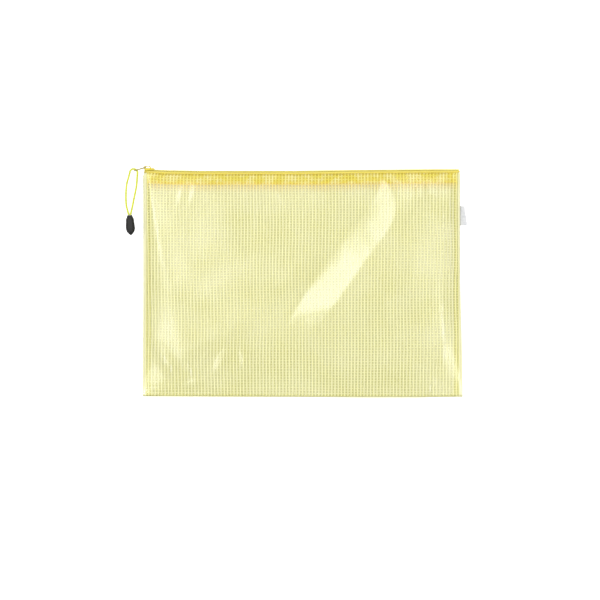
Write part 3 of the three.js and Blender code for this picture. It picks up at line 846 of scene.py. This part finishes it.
def seamStrip(name, side):
    # the two turned edges as a leaf that thins by half as v^3 towards its inner edge, which sine waves of (size,
    # length, phase) ripple
    y = np.linspace(pouch["seamLowY"], pouch["wallTopY"], 120)
    v = np.linspace(0, 1, 9)[None]
    ripple = sum(size * np.sin(y / length + phase) for size, length, phase in seam["ripples"])
    x = side * ((halfWidth(y) - seam["inset"])[:, None] - v * (seam["allowance"] + ripple)[:, None])
    yy = np.broadcast_to(y[:, None], x.shape)
    z = seamMiddle(y)[:, None] + 0 * x
    thin = seam["halfThickness"] * (1 - 0.5 * v**3)
    outer, inner = (np.stack([x, yy, z + turn * thin], -1) for turn in (1, -1))
    return closedSheet(name, outer, inner, weaveUv(x, yy))


finish(setRim(settled(seamStrip("leftSeam", -1))), seamFilm, "pouch", "film", "left_seam")
finish(setRim(settled(seamStrip("rightSeam", 1))), seamFilm, "pouch", "film", "right_seam")
print("seams ready")


# Zipper

# edgeGlow and the pair after it are where the peach edge line and the pale bend start and are whole, in millimetres
# across the tape; the pale bend is painted light that lifts the shade in the tape's bend. dividerIn and exitIn are
# how far inside the slider's ends the coils start and stop spreading.
zipper = {
    "tapeWidth": 16 * mm, "tapeThickness": 0.5 * mm, "tapeOffset": 5.15 * mm, "tapeSplit": 2.4 * mm,
    "tapeBackY": 117.3 * mm, "tapeEnd": 0.6 * mm, "stubEnd": 1.6 * mm, "bend": 0.3 * mm, "room": 0.08 * mm,
    "pitch": 1.5 * mm, "coilHeight": 2.15 * mm, "coilReach": 0.35 * mm, "coilHalf": 2.95 * mm, "coilEnd": 1.6 * mm,
    "wire": 0.66 * mm, "turnSteps": 14, "squareness": 0.7, "swell": 0.16, "sliderLeft": -167.2 * mm,
    "sliderLength": 11 * mm, "spread": 1.15 * mm, "dividerIn": 2.6 * mm, "exitIn": 2.2 * mm,
    "edgeGlow": (13.2, 16.0), "paintedBendLight": (6.4, 5.4), "stubDrop": 0.3 * mm, "stubRun": 2 * mm, "tapeSteps": 220,
}


def zipperTape(name, side):
    # one leaf: flat under the coil, a quarter turn, then down inside the wall, never nearer to its film than room;
    # the ends are cut short. The uv is in millimetres along and across the tape
    end, wide = (pouch["topWidth"] / 2 - zipper[key] for key in ("tapeEnd", "stubEnd"))
    flat = zipper["tapeOffset"] - zipper["tapeSplit"] / 2
    bottom = zipper["tapeBackY"] - (zipper["tapeWidth"] - flat)
    bendY, bendZ = zipper["tapeBackY"] - zipper["bend"], zipper["tapeOffset"] - zipper["bend"]
    stub, full = bendY - zipper["stubDrop"], wide - zipper["stubRun"]
    x = np.concatenate([[-end, -wide], np.linspace(-full, full, zipper["tapeSteps"]), [wide, end]])
    low = np.interp(np.abs(x), [0, full, wide, end], [bottom, bottom, stub, stub])[:, None]
    heightAt = frontHeight if side > 0 else backHeight
    turn = np.linspace(0, np.pi / 2, 7)
    layers = []
    for offset in (zipper["tapeThickness"], 0.0):
        radius = zipper["bend"] + offset
        profileY = np.concatenate([np.full(4, zipper["tapeBackY"] + offset), bendY + radius * np.cos(turn)])
        profileZ = np.concatenate([np.linspace(zipper["tapeSplit"] / 2, bendZ, 5)[:-1], bendZ + radius * np.sin(turn),
                                   np.full(9, zipper["tapeOffset"] + offset)])
        wallY = profileY[-1] + (low - profileY[-1]) * np.linspace(0, 1, 10)[None, 1:]
        yy = np.concatenate([np.broadcast_to(profileY, (len(x), len(profileY))), wallY], 1)
        xx = np.broadcast_to(x[:, None], yy.shape)
        wall = heightAt(xx, np.minimum(yy, pouch["wallTopY"]), pouch["film"])
        room = zipper["room"] + zipper["tapeThickness"] - offset
        zz = side * np.minimum(side * (pouch["chainZ"] + side * profileZ[None]), side * wall - room)
        layers.append(np.stack([xx, yy, zz], -1))
    steps = np.linalg.norm(np.diff(layers[0][len(x) // 3], axis=0), axis=1)
    across = np.concatenate([[0], np.cumsum(steps)])
    return closedSheet(name, *layers, np.stack(np.broadcast_arrays(layers[0][..., 0] / mm, across / mm), -1))


def tapeMaterial():
    # ribbed tape: herringbone from two slanting waves, a pale bend of painted light that lifts the bend's shade, and
    # a peach edge line, all by the uv's millimetres
    kit = materialKit("wovenTape", Roughness=0.8, Sheen_Weight=0.25)
    uv = kit.uv()
    rib = kit.texture("Wave", uv, Scale=0.9, Distortion=0.6)
    slanted = kit.node("Mapping", uv, Rotation=(0, 0, 0.6)).outputs[0]
    both = kit.maths("MULTIPLY", rib, kit.texture("Wave", slanted, Scale=1.6, Distortion=0.3))
    across = kit.node("SeparateXYZ", uv).outputs["Y"]
    colour = kit.ramp(both, [(0.0, linear(208, 178, 14)), (0.6, linear(234, 210, 42))])
    colour = kit.mix(kit.share(across, *zipper["edgeGlow"]), colour, linear(247, 194, 64))
    # painted light: the tape is paler from its coil edge through the bend, lifting the shade that falls there
    colour = kit.mix(kit.share(across, *zipper["paintedBendLight"]), colour, linear(226, 208, 96))
    return kit.done(colour, both, 0.5, 0.12 * mm)


def spreadAt(x):
    # the coils' shift round the slider's divider: all of it up to the divider, none from the slider's right mouth
    left = zipper["sliderLeft"] + zipper["dividerIn"]
    right = zipper["sliderLeft"] + zipper["sliderLength"] - zipper["exitIn"]
    return zipper["spread"] * (1 - smoothStep(x, left, right))


def squared(wave):
    # a wave with flatter crests: its size to the power of squareness
    return np.sign(wave) * np.abs(wave) ** zipper["squareness"]


def coil(name, side, shift):
    # a flattened spiral: x climbs one pitch a turn, z and y follow a squared-off ellipse, and the wire swells at the
    # heads, where the two halves mesh
    start, end = -pouch["topWidth"] / 2 + shift, pouch["topWidth"] / 2 - zipper["coilEnd"]
    turns = (end - start) / zipper["pitch"]
    t = np.linspace(0, turns, int(turns * zipper["turnSteps"]))
    a = 2 * np.pi * t
    x = start + t * zipper["pitch"]
    wire = zipper["wire"] / 2
    low, high = -zipper["coilReach"] + wire, zipper["coilHalf"] - wire
    z = (low + high) / 2 + (high - low) / 2 * squared(np.cos(a)) + spreadAt(x)
    y = pouch["chainFaceY"] - zipper["coilHeight"] / 2 + (zipper["coilHeight"] / 2 - wire) * squared(np.sin(a))
    path = np.stack([x, y, pouch["chainZ"] + side * z], -1)
    head = 1 + zipper["swell"] * np.clip(-np.cos(a), 0, 1) ** 6
    return sweptTubes(name, path, *pathFrame(path, (1.0, 0, 0)), wire * head[:, None, None] * circle(6))


tapeCloth = tapeMaterial()
coilPlastic = mouldedMaterial("coilFilament", [(0.3, linear(236, 228, 112)), (0.7, linear(248, 242, 140))],
                              (60.0, 4.0), (2200.0, 2.0), (0.15, 0.03 * mm), Roughness=0.5)
finish(settled(zipperTape("backTape", -1)), tapeCloth, "pouch", "tape", "back_tape")
opens(finish(settled(zipperTape("frontTape", 1)), tapeCloth, None, "tape", "front_tape"))
finish(settled(coil("backCoil", -1, 0.9 * mm)), coilPlastic, "pouch", "coil", "back_coil")
opens(finish(settled(coil("frontCoil", 1, 1.65 * mm)), coilPlastic, None, "coil", "front_coil"))
print("zipper ready")


# Stitches that hold the tapes to the walls

stitch = {"pitch": 2.6 * mm, "length": 1.5 * mm, "lift": 0.22 * mm, "radius": 0.26 * mm, "row": 1.1 * mm,
          "end": 156 * mm, "underLift": 0.14 * mm}


def stitches(name, side):
    # short threads in a row below the wall's top, each a bow of lift (1/4 - 0.9 t^2) off the film, t from -1 to 1
    middles = np.arange(-stitch["end"], stitch["end"], stitch["pitch"])[:, None]
    t = np.linspace(-1, 1, 7)[None]
    x = middles + t * stitch["length"] / 2
    y = np.full_like(x, pouch["wallTopY"] - stitch["row"])
    bow = stitch["lift"] * (0.25 - t**2 * 0.9)
    z = frontHeight(x, y) + bow if side > 0 else backHeight(x, y) - bow + stitch["underLift"]
    paths = np.stack([x, y, z], -1)
    return sweptTubes(name, paths, *pathFrame(paths, (0, 0, 1.0)), stitch["radius"] * circle(6))


thread = yarnMaterial("sewingThread", linear(196, 166, 30), linear(166, 134, 12))
opens(finish(settled(stitches("frontStitches", 1)), thread, None, "tape"))
finish(settled(stitches("backStitches", -1)), thread, "pouch", "tape")


# Slider and pull tab

def enamelMaterial(name, dark, middle, light):
    # baked enamel over a die casting, with a fine orange peel
    return mouldedMaterial(name, [(0.28, dark), (0.6, middle), (0.85, light)], (160.0, 4.0), (700.0, 3.0),
                           (0.2, 0.05 * mm), Roughness=0.4, Coat_Weight=0.25, Coat_Roughness=0.12)


enamel = enamelMaterial("yellowEnamel", linear(184, 166, 14), linear(220, 202, 26), linear(242, 228, 60))
# painted shade: the tab takes the slider's yellow enamel darkened to ochre
tabShadedEnamel = enamelMaterial("tabEnamelPaintedShade", linear(108, 97, 4), linear(144, 131, 8), linear(178, 165, 24))
finish(softEdged("sliderBody", "slider_body", 0.14 * mm), enamel, "slider", "enamel", "slider_body")
finish(softEdged("pullTab", "pull_tab", 0.14 * mm), tabShadedEnamel, "tab", "enamel", "pull_tab")
print("slider ready")


# Blank ribbon tab

# root is how far inside the seam the ribbon starts and rootHalf half of its height there; slant draws one end of its
# fold further out, where the loop also opens by open.
label = {"middleY": 71.1 * mm, "length": 20.4 * mm, "reach": 5.2 * mm, "ribbon": 0.22 * mm, "open": 0.5 * mm,
         "root": 0.4 * mm, "rootHalf": 0.2 * mm, "bend": 0.3 * mm, "lift": 0.05 * mm, "slant": 2.2 * mm}


def labelTab():
    # a loop of ribbon: out along the top leaf, a half turn, and back along the lower leaf; it follows the seam's lean
    v = np.linspace(-1, 1, 25)[:, None]
    turn = np.linspace(np.pi / 2, -np.pi / 2, 9)[None]
    straight = np.linspace(0, 1, 8, endpoint=False)[None]
    radius = label["bend"] + 0.5 * label["open"] * smoothStep(-v, 0.2, 1.0)
    topX = straight * (label["reach"] - radius)
    topZ = label["rootHalf"] + (radius - label["rootHalf"]) * smoothStep(straight, 0.0, 0.7)
    x = np.concatenate([topX, label["reach"] - radius + radius * np.cos(turn), topX[:, ::-1]], 1)
    z = np.concatenate([topZ, radius * np.sin(turn), -topZ[:, ::-1]], 1)
    slope = np.gradient(np.stack([x, z], -1), axis=1)
    inward = normalised(np.stack([slope[..., 1], -slope[..., 0]], -1))
    y = label["middleY"] + v * label["length"] / 2 + 0 * x
    slant = label["slant"] * smoothStep(-v, -1.0, 1.0) * (x / label["reach"])
    layers = []
    for depth in (0.0, label["ribbon"]):
        xx = halfWidth(y) - label["root"] + x + inward[..., 0] * depth + slant
        layers.append(np.stack([xx, y, pouch["foldRadius"] + label["lift"] + z + inward[..., 1] * depth], -1))
    arc = np.concatenate([[0], np.cumsum(np.linalg.norm(np.diff(layers[0][12], axis=0), axis=1))])
    return closedSheet("labelTab", *layers, np.stack(np.broadcast_arrays(arc / mm, y / mm), -1))


def ribbonMaterial():
    # plain satin ribbon: fine ribs across, faint grey drift, nothing printed
    kit = materialKit("satinRibbon", Roughness=0.5, Sheen_Weight=0.3)
    uv = kit.uv()
    rib = kit.texture("Wave", uv, Scale=2.4, Distortion=0.2, bands_direction="Y")
    cloud = kit.texture("Noise", uv, Scale=0.35, Detail=3.0)
    colour = kit.ramp(cloud, [(0.3, linear(194, 196, 200)), (0.7, linear(218, 219, 222))])
    return kit.done(colour, rib, 0.4, 0.06 * mm)


finish(labelTab(), ribbonMaterial(), "pouch", "ribbon", "label_tab")
print("label ready")


# Table and light

def tableMaterial():
    # a pale top that takes the pouch's shadow, with a white glow for the camera, reflections and see-through rays
    kit = materialKit("paleTable")
    kit.nodes.remove(kit.shader)
    top = kit.node("BsdfDiffuse", (0.8, 0.8, 0.8)).outputs[0]
    glow = kit.node("Emission", (1, 1, 1), 0.8).outputs[0]
    path = kit.node("LightPath")
    mirrored = kit.maths("MAXIMUM", path.outputs["Is Camera Ray"], path.outputs["Is Glossy Ray"])
    direct = kit.maths("MAXIMUM", mirrored, path.outputs["Is Transmission Ray"])
    both = kit.node("AddShader", top, glow).outputs[0]
    out = kit.node("MixShader", direct, top, both).outputs[0]
    kit.feed(kit.nodes["Material Output"].inputs["Surface"], out)
    return kit.material


tableTop = {"half": 3, "below": 0.03 * mm}
far, under = tableTop["half"], -tableTop["below"]
corners = [(-far, -far, under), (far, -far, under), (far, far, under), (-far, far, under)]
table = putMesh("table", corners, [[0, 1, 2, 3]])
table.data.materials.append(tableMaterial())

light = {  # place and size in metres, power in watts
    "bandLamp": {"place": (-0.68, 0.37, 2.45), "size": (0.42, 0.96), "power": 15.4},
    "rightLamp": {"place": (1.0, -0.6, 2.45), "size": (0.4, 0.4), "power": 6},
    "leftLamp": {"place": (-0.8, -0.6, 2.45), "size": (0.5, 0.5), "power": 7},
    "keyLamp": {"place": (0.9, 1.4, 2.2), "size": (1.4, 1.4), "power": 24},
}
roomGlow = 0.685


def addLamp(name, place, size, power):
    # a flat lamp facing straight down, so that its sides stay along the pouch's
    data = bpy.data.lights.new(name, "AREA")
    data.shape = "RECTANGLE"
    data.size, data.size_y = size
    data.energy = power
    linked(bpy.data.objects.new(name, data)).location = place


for name, lamp in light.items():
    addLamp(name, **lamp)
world = bpy.data.worlds.new("paleRoom")
world.use_nodes = True
world.node_tree.nodes["Background"].inputs[0].default_value = (1, 1, 1, 1)
world.node_tree.nodes["Background"].inputs[1].default_value = roomGlow
bpy.context.scene.world = world
bpy.context.scene.view_settings.view_transform = "Standard"
print("light ready")
